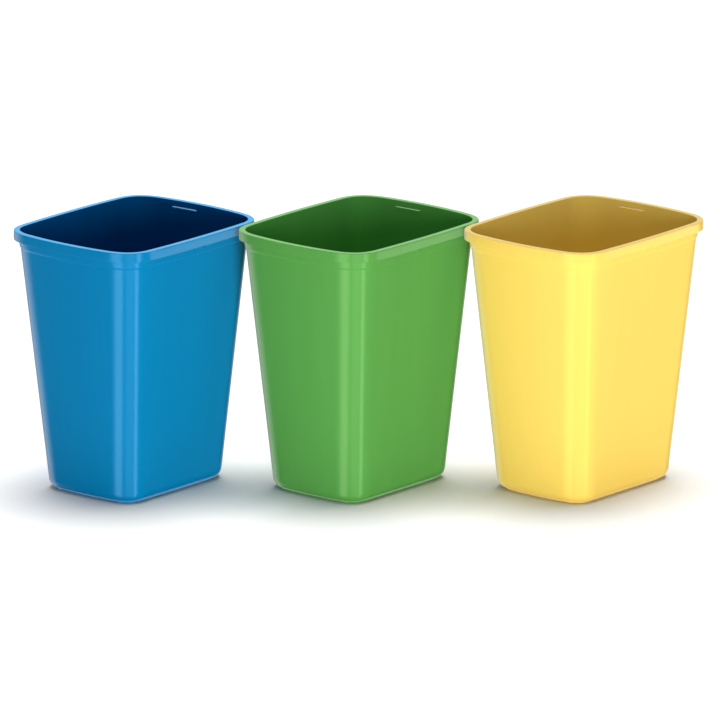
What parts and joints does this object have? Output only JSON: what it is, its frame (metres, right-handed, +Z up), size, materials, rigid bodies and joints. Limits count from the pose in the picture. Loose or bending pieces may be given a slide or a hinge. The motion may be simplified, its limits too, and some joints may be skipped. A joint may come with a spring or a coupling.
{
  "type": "waste sorting bin set",
  "caption": "Row of tapered open-top plastic waste-sorting bins in blue, green and yellow, each with a flanged rim and rounded corners, standing loose side by side.",
  "frame": {"origin": "on the floor under the middle of the green bin, the middle one of the row", "axes": "+Z up; +X along the long sides of the bins and +Y along their short sides; the row runs diagonally from the blue bin at -X +Y to the yellow bin at +X -Y"},
  "size_m": [0.795, 0.823, 0.42],
  "materials": {
    "blue_plastic": "satin moulded polypropylene",
    "green_plastic": "satin moulded polypropylene",
    "yellow_plastic": "satin moulded polypropylene"
  },
  "bodies": {
    "green": {"green_bin": "green_plastic"},
    "blue": {"blue_bin": "blue_plastic"},
    "yellow": {"yellow_bin": "yellow_plastic"}
  },
  "joints": [
    {"name": "blue_lift", "type": "slide", "parent": "green", "child": "blue", "axis": [0, 0, 1], "range_m": [0, 0.45]},
    {"name": "yellow_lift", "type": "slide", "parent": "green", "child": "yellow", "axis": [0, 0, 1], "range_m": [0, 0.45]}
  ]
}
